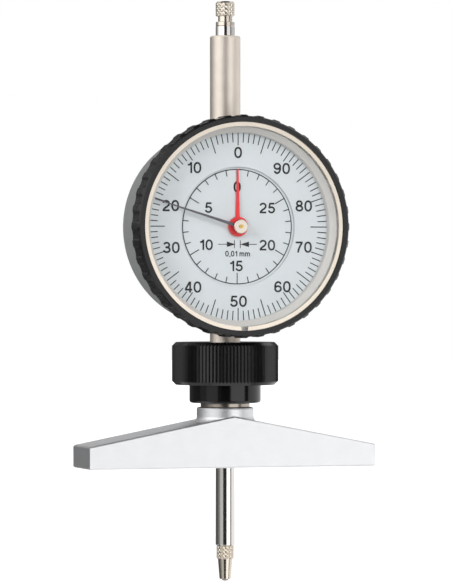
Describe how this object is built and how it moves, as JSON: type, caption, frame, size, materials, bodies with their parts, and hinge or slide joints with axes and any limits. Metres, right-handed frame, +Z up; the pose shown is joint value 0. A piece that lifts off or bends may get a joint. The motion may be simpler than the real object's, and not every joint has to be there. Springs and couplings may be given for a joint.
{
  "type": "depth gauge",
  "caption": "Dial depth gauge: a two-hand indicator with a turning bezel, clamped by a knurled nut in a flat measuring bridge, with a sprung spindle below.",
  "frame": {"origin": "centre of the bridge's measuring face, on the spindle's axis", "axes": "+Z up along the spindle, away from the measuring face; -Y is the side that the dial faces; X runs along the bridge"},
  "size_m": [0.0786, 0.0308, 0.1524],
  "materials": {
    "lapped_steel": "satin",
    "nickel_plate": "satin",
    "black_knurled_aluminium": "matt",
    "grey_case_enamel": "satin",
    "satin_stem_steel": "satin",
    "bronze": "turned",
    "brass": "brushed",
    "dial_enamel": "matt",
    "blued_spring": "polished",
    "spring_steel": "drawn",
    "black_bezel_plastic": "satin",
    "warm_nickel": "satin",
    "clear_crystal": "clear",
    "polished_spindle_steel": "polished",
    "hard_ball": "polished",
    "grey_hand_lacquer": "satin",
    "red_hand_lacquer": "satin"
  },
  "bodies": {
    "bridge": {"bridge": "lapped_steel", "collet": "nickel_plate"},
    "nut": {"clamp_nut": "black_knurled_aluminium"},
    "head": {"case": "grey_case_enamel", "back_cover": "grey_case_enamel", "back_cover_screws": "nickel_plate", "lower_stem": "satin_stem_steel", "lower_bush": "bronze", "upper_tube": "satin_stem_steel", "upper_bush": "bronze", "guide_plate": "nickel_plate", "guide_plate_screws": "nickel_plate", "rear_plate": "brass", "rear_plate_screws": "nickel_plate", "plate_pillars": "brass", "front_plate": "brass", "front_plate_screws": "nickel_plate", "plate_bushes": "bronze", "pinion_cock": "brass", "cock_screw": "nickel_plate", "dial_disc": "dial_enamel", "hairspring": "blued_spring", "hairspring_stud": "nickel_plate", "return_spring": "spring_steel", "spring_post": "nickel_plate"},
    "bezel": {"bezel": "black_bezel_plastic", "bezel_wire": "spring_steel", "reflector_ring": "warm_nickel", "dial_ring": "dial_enamel", "crystal": "clear_crystal", "snap_ring": "warm_nickel"},
    "spindle": {"spindle": "polished_spindle_steel", "guide_pin": "polished_spindle_steel", "spring_pin": "polished_spindle_steel", "lifting_cap": "warm_nickel", "contact_point": "warm_nickel", "contact_ball": "hard_ball"},
    "rack_arbor": {"rack_pinion": "polished_spindle_steel", "drive_gear": "brass", "counter_pinion": "brass"},
    "centre": {"centre_arbor": "polished_spindle_steel", "main_pointer": "grey_hand_lacquer", "pointer_cap": "warm_nickel"},
    "counter": {"counter_gear": "brass", "counter_pointer": "red_hand_lacquer"},
    "hairspring_wheel": {"hairspring_arbor": "polished_spindle_steel", "hairspring_gear": "brass", "hairspring_collet": "brass"}
  },
  "joints": [
    {"name": "nut_turn", "type": "hinge", "parent": "bridge", "child": "nut", "pos_m": [0, 0, 0.026], "axis": [0, 0, 1], "range_deg": [0, 360]},
    {"name": "head_slide", "type": "slide", "parent": "bridge", "child": "head", "axis": [0, 0, 1], "range_m": [-0.001, 0.008]},
    {"name": "bezel_turn", "type": "hinge", "parent": "head", "child": "bezel", "pos_m": [0, -0.01, 0.063], "axis": [0, 1, 0], "continuous": true},
    {"name": "spindle_slide", "type": "slide", "parent": "head", "child": "spindle", "axis": [0, 0, 1], "range_m": [0, 0.03], "stiffness_N_per_m": 8, "springref_m": -0.08, "deforming": ["return_spring"]},
    {"name": "rack_arbor_spin", "type": "hinge", "parent": "head", "child": "rack_arbor", "pos_m": [-0.00372, 0, 0.07335], "axis": [0, 1, 0], "range_deg": [-1100, 20]},
    {"name": "centre_spin", "type": "hinge", "parent": "head", "child": "centre", "pos_m": [0, -0.008, 0.063], "axis": [0, 1, 0], "range_deg": [-200, 11000]},
    {"name": "counter_spin", "type": "hinge", "parent": "head", "child": "counter", "pos_m": [0, -0.008, 0.063], "axis": [0, 1, 0], "range_deg": [-10, 370]},
    {"name": "hairspring_spin", "type": "hinge", "parent": "head", "child": "hairspring_wheel", "pos_m": [0.0055, -0.006, 0.05347], "axis": [0, 1, 0], "range_deg": [-1100, 20]}
  ],
  "couplings": [
    {"joint": "rack_arbor_spin", "follows": "spindle_slide", "rad_per_m": -628.32},
    {"joint": "centre_spin", "follows": "spindle_slide", "rad_per_m": 6283.2},
    {"joint": "counter_spin", "follows": "spindle_slide", "rad_per_m": 209.44},
    {"joint": "hairspring_spin", "follows": "spindle_slide", "rad_per_m": -628.32}
  ]
}
